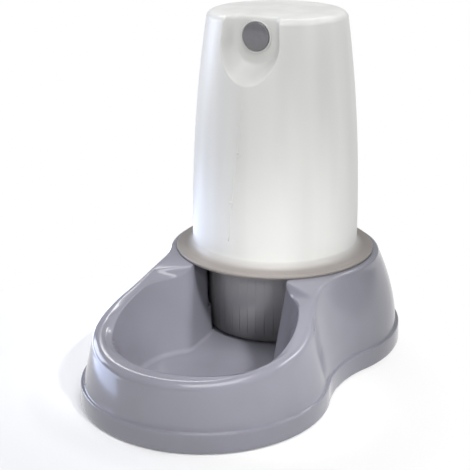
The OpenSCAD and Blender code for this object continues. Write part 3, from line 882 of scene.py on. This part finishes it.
def paper():
    """Studio paper: matt, with the dispenser's shadow on it, and burnt out to white away from it."""
    mat, tree = new_material("White Paper Floor")
    fibre = add_node(tree, "ShaderNodeTexNoise", {
        "Vector": object_mm(tree), "Scale": 1.0 / 2.0, "Detail": 2.0})
    tone = add_node(tree, "ShaderNodeValToRGB", {"Fac": fibre.outputs[0]}, tones("#E4E4E4", "#E6E6E6"))
    shader = add_node(tree, "ShaderNodeBsdfPrincipled", {
        "Base Color": tone.outputs[0], "Roughness": 0.9, "Specular IOR Level": 0.1})
    spot = object_mm(tree, (-50.0, -80.0, 0.0))
    away = add_node(tree, "ShaderNodeVectorMath", {0: spot}, operation="LENGTH")
    burnt = add_node(
        tree, "ShaderNodeMapRange", {0: away.outputs["Value"], 1: 120.0, 2: 220.0, 3: 0.0, 4: 1.0})
    # The dispenser's own surfaces see the whole paper as white
    seen = add_node(tree, "ShaderNodeLightPath")
    table = add_node(
        tree, "ShaderNodeMath", {0: 1.0, 1: seen.outputs["Is Camera Ray"]}, operation="SUBTRACT")
    share = add_node(tree, "ShaderNodeMath", {0: burnt.outputs[0], 1: table.outputs[0]}, operation="MAXIMUM")
    white = add_node(tree, "ShaderNodeEmission", {"Color": linear("#FFFFFF"), "Strength": 1.0})
    both = add_node(tree, "ShaderNodeMixShader", {
        0: share.outputs[0], 1: shader.outputs[0], 2: white.outputs[0]})
    add_node(tree, "ShaderNodeOutputMaterial", {0: both.outputs[0]})
    return mat


def painted(obj, material):
    obj.data.materials.clear()
    obj.data.materials.append(material)
    return obj


# Geometry Nodes


def node_group(name, inputs):
    """A geometry node group with named size inputs. Returns (group, group input node, output node)."""
    group = bpy.data.node_groups.new(name, "GeometryNodeTree")
    group.interface.new_socket("Geometry", in_out="OUTPUT", socket_type="NodeSocketGeometry")
    for label, kind, value in inputs:
        socket = group.interface.new_socket(label, in_out="INPUT", socket_type="NodeSocket" + kind)
        socket.default_value = value
    return group, group.nodes.new("NodeGroupInput"), group.nodes.new("NodeGroupOutput")


def built(name, group, values, material):
    """Runs the group on an empty mesh and returns the result as a plain mesh object."""
    carrier = bpy.data.objects.new(name + "_carrier", bpy.data.meshes.new(name + "_carrier"))
    bpy.context.scene.collection.objects.link(carrier)
    modifier = carrier.modifiers.new("Rule", "NODES")
    modifier.node_group = group
    for item in group.interface.items_tree:
        if item.item_type == "SOCKET" and item.in_out == "INPUT" and item.name in values:
            modifier[item.identifier] = values[item.name]
    graph = bpy.context.evaluated_depsgraph_get()
    mesh = bpy.data.meshes.new_from_object(carrier.evaluated_get(graph), depsgraph=graph)
    carrier.modifiers.remove(modifier)
    bpy.data.objects.remove(carrier)
    if not len(mesh.vertices):
        raise RuntimeError(name + " came out empty")
    mesh.name = name
    obj = bpy.data.objects.new(name, mesh)
    bpy.context.scene.collection.objects.link(obj)
    return painted(obj, material)


def spring_group():
    """Coil of round wire with an open pitch."""
    group, given, out = node_group("Valve Spring", (
        ("Radius", "Float", SPRING_R * MM), ("Wire Radius", "Float", SPRING_WIRE_R * MM),
        ("Height", "Float", SPRING_H * MM), ("Turns", "Float", 8.0)))
    coil = add_node(group, "GeometryNodeCurveSpiral", {
        "Resolution": 40, "Rotations": given.outputs["Turns"], "Start Radius": given.outputs["Radius"],
        "End Radius": given.outputs["Radius"], "Height": given.outputs["Height"]})
    wire = add_node(group, "GeometryNodeCurvePrimitiveCircle", {
        "Resolution": 12, "Radius": given.outputs["Wire Radius"]})
    tube = add_node(group, "GeometryNodeCurveToMesh", {
        "Curve": coil.outputs[0], "Profile Curve": wire.outputs[0], "Fill Caps": True})
    real = add_node(group, "GeometryNodeRealizeInstances", {0: tube.outputs[0]})
    paint = add_node(group, "GeometryNodeSetMaterial", {
        "Geometry": real.outputs[0], "Material": spring_steel()})
    group.links.new(paint.outputs[0], out.inputs[0])
    return group


def rib_group():
    """Upright half-round grip ribs round a circle."""
    group, given, out = node_group("Grip Ribs", (
        ("Count", "Int", 48), ("Circle Radius", "Float", CAP_R * MM),
        ("Rib Radius", "Float", RIB_R * MM), ("Height", "Float", RIB_H * MM)))
    circle = add_node(group, "GeometryNodeCurvePrimitiveCircle", {
        "Resolution": given.outputs["Count"], "Radius": given.outputs["Circle Radius"]})
    places = add_node(group, "GeometryNodeCurveToPoints", {
        "Curve": circle.outputs[0], "Count": given.outputs["Count"]}, mode="COUNT")
    rod = add_node(group, "GeometryNodeMeshCylinder", {
        "Vertices": 16, "Side Segments": 1, "Fill Segments": 1,
        "Radius": given.outputs["Rib Radius"], "Depth": given.outputs["Height"]})
    end = add_node(group, "GeometryNodeMeshUVSphere", {
        "Segments": 16, "Rings": 8, "Radius": given.outputs["Rib Radius"]})
    parts = [rod.outputs["Mesh"]]
    for side in (0.5, -0.5):
        height = add_node(
            group, "ShaderNodeMath", {0: given.outputs["Height"], 1: side}, operation="MULTIPLY")
        shift = add_node(group, "ShaderNodeCombineXYZ", {2: height.outputs[0]})
        moved = add_node(group, "GeometryNodeTransform", {
            0: end.outputs["Mesh"], "Translation": shift.outputs[0]})
        parts.append(moved.outputs[0])
    join = add_node(group, "GeometryNodeJoinGeometry")
    for part in reversed(parts):
        group.links.new(part, join.inputs[0])
    inst = add_node(group, "GeometryNodeInstanceOnPoints", {
        "Points": places.outputs[0], "Instance": join.outputs[0]})
    real = add_node(group, "GeometryNodeRealizeInstances", {0: inst.outputs[0]})
    smooth = add_node(group, "GeometryNodeSetShadeSmooth", {0: real.outputs[0]})
    paint = add_node(group, "GeometryNodeSetMaterial", {
        "Geometry": smooth.outputs[0], "Material": cap_plastic()})
    group.links.new(paint.outputs[0], out.inputs[0])
    return group


# Settings and operators


def tint(name, description, colour):
    """A colour setting, from an sRGB hex default."""
    return bpy.props.FloatVectorProperty(
        name=name, description=description, default=linear(colour), size=4, min=0.0, max=1.0, subtype="COLOR")


class DispenserSettings(bpy.types.PropertyGroup):
    grip_ribs: bpy.props.IntProperty(
        name="Grip ribs", description="Number of upright ribs round the cap", default=48, min=12, max=72)
    spring_turns: bpy.props.FloatProperty(
        name="Spring turns", description="Turns of the valve spring, end turns included",
        default=8.0, min=4.0, max=12.0)
    plug_dome: bpy.props.FloatProperty(
        name="Plug dome", description="How far the plug's face bulges", default=0.0006, min=0.0, max=0.002,
        subtype="DISTANCE", unit="LENGTH")
    camera_lens: bpy.props.FloatProperty(
        name="Lens", description="Focal length of the camera in mm", default=91.915, min=20.0, max=200.0)
    base_dark: tint("Base, darker", "Darker tone of the moulded base", "#74747D")
    base_light: tint("Base, lighter", "Lighter tone of the moulded base", "#797983")
    tank_dark: tint("Reservoir, darker", "Darker tone of the milky reservoir", "#E6E6E4")
    tank_light: tint("Reservoir, lighter", "Lighter tone of the milky reservoir", "#EEEEEC")
    flange_tone: tint("Flange", "Tone of the reservoir's flange", "#96908C")
    # The cap's two tones are painted shade at its foot and painted light at its top edge
    cap_painted_shade_foot: tint("Cap, foot", "Tone of the cap at its foot", "#434244")
    cap_painted_light_top: tint("Cap, top", "Tone of the cap at its top edge", "#A5A4A9")


# Profiles of the base's small parts, as radius and height in mm: the boss over a foot, and the valve's post
BOSS_PROFILE = ((0.0, 3.3), (7.1, 3.3), (7.1, 1.8), (8.7, 1.8), (9.0, 2.1), (9.0, 7.6), (0.0, 7.6))
POST_PROFILE = ((0.0, FLOOR_H - 1.0), (4.6, FLOOR_H - 1.0), (3.3, 14.6), (2.9, 14.9), (0.0, 14.9))


class DISPENSER_OT_base(bpy.types.Operator):
    """Builds the moulded base and paints the rubber feet"""

    bl_idname = "dispenser.base"
    bl_label = "Base"

    def execute(self, context):
        parts = [mesh_from_rings("moulded_base_skin", base_rings())]
        for foot in FEET:
            low, high = corners_mm(foot)
            middle = (0.5 * (low[0] + high[0]), 0.5 * (low[1] + high[1]))
            parts.append(revolve("boss", BOSS_PROFILE, middle, 48))
            painted(bpy.data.objects[foot], foot_rubber())
        parts.append(revolve("post", POST_PROFILE, steps=48))
        base = painted(joined("moulded_base", parts), base_plastic())
        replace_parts(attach(base, "dispenser"), "base_shell")
        return {"FINISHED"}


# Rim that holds the plug, as radius and height above the notch's back, in mm
PLUG_RIM_PROFILE = tuple((PLUG_R + out, height) for out, height in (
    (0.15, -1.0), (0.15, 0.8), (0.4, 1.1), (0.9, 1.2), (1.3, 1.0), (1.5, 0.6), (1.5, -1.0)))


def plug_profile(dome):
    """Outline of the plug from its back to its domed face, as radius and height above the notch's back."""
    round_r, edge_h, face_h = 0.8, 1.0, 1.8
    turns = (0.4, 0.8, 1.2, 1.57)
    shank_r = PLUG_R - 2.4
    shank = [(0.0, -6.0), (PLUG_R - 4.0, -6.0), (PLUG_R - 2.0, -2.5), (shank_r, -1.7), (shank_r, 0.0)]
    edge = [(PLUG_R - round_r + round_r * math.cos(a), edge_h + round_r * math.sin(a)) for a in turns]
    face = [(PLUG_R * s, face_h + dome * (1 - s * s)) for s in (0.85, 0.7, 0.5, 0.3, 0.15)]
    return shank + [(PLUG_R, 0.0), (PLUG_R, edge_h)] + edge + face + [(0.0, face_h + dome)]


def lug_starts():
    """Angles in degrees at which the lugs start."""
    return [LUG_FIRST + 360.0 / LUGS * k for k in range(LUGS)]


class DISPENSER_OT_reservoir(bpy.types.Operator):
    """Builds the reservoir with its notch, neck and lugs, and the plug"""

    bl_idname = "dispenser.reservoir"
    bl_label = "Reservoir"

    def execute(self, context):
        to_notch = Matrix.Translation((0.0, (TANK_Y - NOTCH_BACK) * MM, PLUG_Z * MM))
        to_notch @= Matrix.Rotation(math.pi / 2, 4, "X")
        skin = mesh_from_rings("reservoir_skin", reservoir_rings())
        rim = revolve("plug_ring", PLUG_RIM_PROFILE, (0.0, 0.0), 64, closed=True)
        rim.data.transform(to_notch)
        parts = [skin, rim]
        for start in lug_starts():
            parts.append(arc_block("lug", start, LUG_ANGLE, NECK_R - 0.5, CAP_R - 2.1, LUG_Z, LUG_Z + LUG_H))
        parts.append(mould_line("mould_line", (-1.5, 190.0), (-10.1, 90.8), 0.45, 0.4))
        parts += [mould_ring("mould_ring", x, z, 1.5, 0.4) for x, z in ((-3.6, 154.4), (-8.4, 118.2))]
        tank = painted(joined("milky_reservoir", parts), tank_plastic())
        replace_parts(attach(tank, "dispenser"), "reservoir", "reservoir_neck")
        dome = context.scene.dispenser.plug_dome * PER_M
        plug = revolve("grip_plug_face", plug_profile(dome), (0.0, 0.0), 64)
        plug.data.transform(to_notch)
        painted(plug, plug_plastic())
        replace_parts(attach(plug, "dispenser"), "grip_plug")
        return {"FINISHED"}


def cap_profile():
    """Closed outline of the cap's wall, floor and outlet ring, as radius and height."""
    floor_z, ring_z, ring_r = CAP_Z + CAP_FLOOR, CAP_Z + 4.2, 11.0
    corner = [
        (CAP_R - CAP_CORNER + CAP_CORNER * math.sin(a), CAP_Z + CAP_CORNER * (1 - math.cos(a)))
        for a in (0.3, 0.7, 1.1, 1.57)]
    wall = [
        (CAP_R, CAP_TOP_Z - 0.5), (CAP_R - 0.5, CAP_TOP_Z), (CAP_IN_R + 0.4, CAP_TOP_Z),
        (CAP_IN_R, CAP_TOP_Z - 0.4), (CAP_IN_R, floor_z + 0.4), (CAP_IN_R - 0.4, floor_z)]
    outlet = [(ring_r, floor_z), (ring_r, ring_z), (OUTLET_R, ring_z)]
    return [(OUTLET_R, CAP_Z), (CAP_R - CAP_CORNER, CAP_Z)] + corner + wall + outlet


class DISPENSER_OT_cap(bpy.types.Operator):
    """Builds the ribbed cap and the valve in it"""

    bl_idname = "dispenser.cap"
    bl_label = "Cap and valve"

    def execute(self, context):
        settings = context.scene.dispenser
        wall = painted(revolve("cap_wall", cap_profile(), steps=192, closed=True), cap_plastic())
        ribs = built("cap_ribs", rib_group(), {
            "Count": settings.grip_ribs, "Circle Radius": (CAP_R - RIB_SINK) * MM,
            "Rib Radius": RIB_R * MM, "Height": RIB_H * MM}, cap_plastic())
        ribs.data.transform(Matrix.Translation((0.0, TANK_Y * MM, RIB_Z * MM)))
        parts = [wall, ribs]
        # Ledges that rest on the lugs, each with a stop at its start
        inner, outer, top = NECK_R + 0.3, CAP_IN_R + 0.5, LUG_Z + 6.2
        for start in lug_starts():
            parts.append(arc_block("ledge", start, LUG_ANGLE, inner, outer, LUG_Z + 3.2, top))
            parts.append(arc_block("stop", start - 3.4, 3.1, inner, outer, LUG_Z, top))
        cap = painted(joined("ribbed_cap", parts), cap_plastic())
        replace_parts(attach(cap, "cap_body"), "cap")
        spring = built("valve_coil", spring_group(), {
            "Radius": SPRING_R * MM, "Wire Radius": SPRING_WIRE_R * MM, "Height": SPRING_H * MM,
            "Turns": settings.spring_turns}, spring_steel())
        spring.data.transform(Matrix.Translation((0.0, TANK_Y * MM, SPRING_Z * MM)))
        spring.data.shade_smooth()
        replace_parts(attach(spring, "cap_body"), "valve_spring")
        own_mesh(spring)
        for node in ("cap_gasket", "valve_seal"):
            painted(bpy.data.objects[node], seal_rubber())
        for node in ("valve_cage", "valve_stem"):
            painted(bpy.data.objects[node], valve_plastic())
        return {"FINISHED"}


# Stage


def aimed(name, data, place, target):
    """A light at a place, turned towards a target, both in metres."""
    obj = bpy.data.objects.new(name, data)
    bpy.context.scene.collection.objects.link(obj)
    obj.location = place
    obj.rotation_mode = "QUATERNION"
    obj.rotation_quaternion = (Vector(target) - Vector(place)).to_track_quat("-Z", "Y")
    return obj


def area_light(name, place, target, size, power, colour="#FFFFFF"):
    data = bpy.data.lights.new(name, "AREA")
    data.shape = "RECTANGLE"
    data.size, data.size_y = size
    data.energy = power
    data.color = linear(colour)[:3]
    return aimed(name, data, place, target)


def snoot(name, place, target, angle, power):
    """Narrow round light, without a mirror image of its own; angle is the full cone in degrees."""
    data = bpy.data.lights.new(name, "SPOT")
    data.spot_size = math.radians(angle)
    data.spot_blend = 1.0
    data.shadow_soft_size = 0.09
    data.energy = power
    obj = aimed(name, data, place, target)
    obj.visible_glossy = False
    return obj


def soft_lights():
    """Softboxes and strips aimed at the dispenser's middle, and a low card that only gloss shows."""
    middle = (0.0, 0.0, 0.08)
    left_card = area_light("left_card", (-0.36, 0.0, 0.002), (-0.36, 0.0, 1.0), (0.4, 0.44), 2.4, "#C8D8FF")
    left_card.visible_diffuse = False
    left_card.visible_camera = False
    return (
        area_light("top_softbox", (0.15, -0.3, 1.2), middle, (0.7, 0.7), 7.5),
        area_light("back_strip", (-0.3, 0.75, 0.9), middle, (1.2, 0.08), 4.0),
        area_light("right_strip", (0.7, 0.45, 0.95), middle, (0.6, 0.1), 3.0),
        area_light("left_softbox", (-1.0, 0.1, 0.35), middle, (0.5, 0.5), 6.0, "#E0E8FF"),
        left_card,
    )


def narrow_lights():
    """Lights on the bowl, the cap, the channel's right cheek and the reservoir."""
    return (
        snoot("bowl_snoot", (0.60, -0.36, 0.66), (-0.015, -0.03, 0.005), 11.0, 75.0),
        snoot("cap_snoot", (0.60, -0.64, 0.45), (-0.02, -0.025, 0.02), 6.5, 40.0),
        snoot("cap_snoot_left", (0.14, -0.85, 0.34), (-0.03, -0.01, 0.02), 6.0, 40.0),
        snoot("cheek_snoot", (-0.50, -0.70, 0.42), (0.03, -0.01, 0.04), 5.5, 36.0),
        snoot("tank_snoot", (0.25, -0.95, 0.45), (0.0, 0.0, 0.195), 11.0, 8.0),
    )


def studio_world():
    """Even white light all round, which the camera sees as plain white."""
    world = bpy.data.worlds.new("Studio White")
    world.use_nodes = True
    tree = world.node_tree
    tree.nodes.clear()
    path = add_node(tree, "ShaderNodeLightPath")
    fill = add_node(tree, "ShaderNodeBackground", {"Color": linear("#FFFFFF"), "Strength": 0.37})
    seen = add_node(tree, "ShaderNodeBackground", {"Color": linear("#FFFFFF"), "Strength": 1.0})
    both = add_node(tree, "ShaderNodeMixShader", {
        0: path.outputs["Is Camera Ray"], 1: fill.outputs[0], 2: seen.outputs[0]})
    add_node(tree, "ShaderNodeOutputWorld", {0: both.outputs[0]})
    return world


# The photograph's camera: its place in metres, and the directions of its right, its top and its back
CAMERA_PLACE = (0.3305, -0.7321, 0.3746)
CAMERA_AXES = ((0.9078, 0.4195, 0.0), (-0.1380, 0.2986, 0.9444), (0.3961, -0.8573, 0.3289))


def photo_camera(lens):
    data = bpy.data.cameras.new("camera")
    data.lens = lens
    data.sensor_width = 36.0
    data.clip_start, data.clip_end = 0.05, 20.0
    camera = bpy.data.objects.new("camera", data)
    bpy.context.scene.collection.objects.link(camera)
    turn = Matrix(CAMERA_AXES).transposed().to_4x4()
    camera.matrix_world = Matrix.Translation(CAMERA_PLACE) @ turn
    return camera


class DISPENSER_OT_stage(bpy.types.Operator):
    """Sets the floor, the lights, the world and the camera"""

    bl_idname = "dispenser.stage"
    bl_label = "Stage"

    def execute(self, context):
        scene = context.scene
        scene.view_settings.view_transform = "Standard"
        floor = new_mesh("floor", [(-3, -3, 0), (3, -3, 0), (3, 3, 0), (-3, 3, 0)], [(0, 1, 2, 3)])
        painted(floor, paper())
        scene.world = studio_world()
        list(soft_lights())
        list(narrow_lights())
        scene.camera = photo_camera(scene.dispenser.camera_lens)
        return {"FINISHED"}


class DISPENSER_PT_panel(bpy.types.Panel):
    bl_label = "Water dispenser"
    bl_idname = "DISPENSER_PT_panel"
    bl_space_type = "VIEW_3D"
    bl_region_type = "UI"
    bl_category = "Dispenser"

    def draw(self, context):
        column = self.layout.column(align=True)
        for name in DispenserSettings.__annotations__:
            column.prop(context.scene.dispenser, name)
        for operator in ("dispenser.base", "dispenser.reservoir", "dispenser.cap", "dispenser.stage"):
            column.operator(operator)


CLASSES = (
    DispenserSettings,
    DISPENSER_OT_base,
    DISPENSER_OT_reservoir,
    DISPENSER_OT_cap,
    DISPENSER_OT_stage,
    DISPENSER_PT_panel,
)


def register():
    for cls in CLASSES:
        bpy.utils.register_class(cls)
    bpy.types.Scene.dispenser = bpy.props.PointerProperty(type=DispenserSettings)


def unregister():
    del bpy.types.Scene.dispenser
    for cls in reversed(CLASSES):
        bpy.utils.unregister_class(cls)


def main():
    register()
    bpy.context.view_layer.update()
    bpy.ops.dispenser.base()
    bpy.ops.dispenser.reservoir()
    bpy.ops.dispenser.cap()
    bpy.ops.dispenser.stage()


if __name__ == "__main__":
    for start in [o for o in bpy.data.objects if o.name in ("Cube", "Light", "Camera")]:
        bpy.data.objects.remove(start)
    main()
